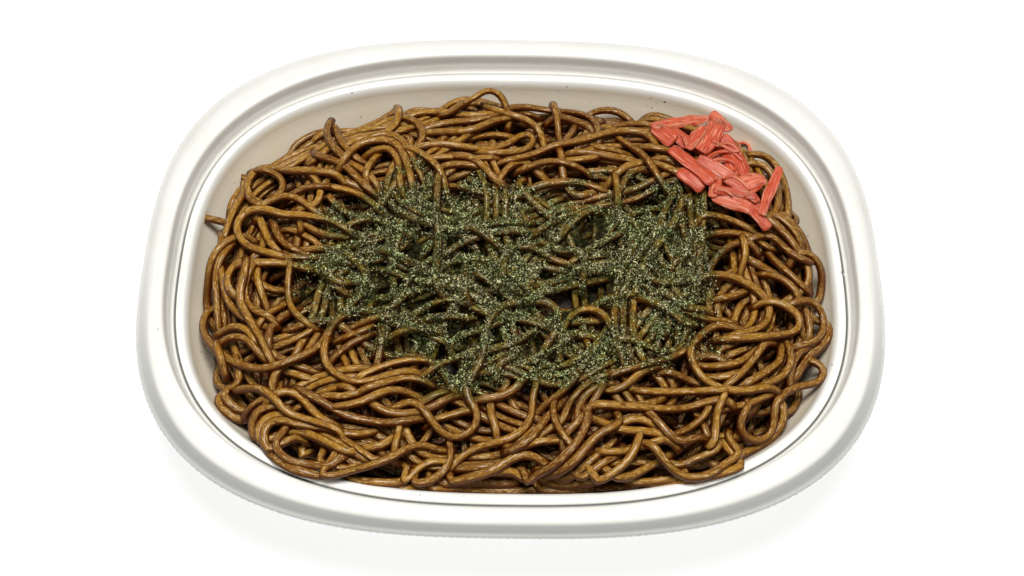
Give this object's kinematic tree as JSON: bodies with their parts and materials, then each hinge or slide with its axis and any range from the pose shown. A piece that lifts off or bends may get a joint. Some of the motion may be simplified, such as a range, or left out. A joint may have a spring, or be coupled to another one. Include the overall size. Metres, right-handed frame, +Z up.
{
  "type": "fried noodles in tray",
  "caption": "Heap of sauce-fried noodles with green laver flakes and red pickled ginger in a white oval take-away tray with a wide stepped rim.",
  "frame": {"origin": "on the ground under the middle of the tray", "axes": "+X along the tray's long side, +Y across it to the side where the ginger lies, +Z up"},
  "size_m": [0.25, 0.1926, 0.0424],
  "materials": {
    "tray_white": "satin",
    "sauced_noodle": "satin",
    "ginger_red": "gloss",
    "laver_green": "matte",
    "dark_sauce": "gloss"
  },
  "bodies": {
    "root": {"tray": "tray_white", "noodles": "sauced_noodle", "pickled_ginger": "ginger_red"}
  },
  "joints": []
}
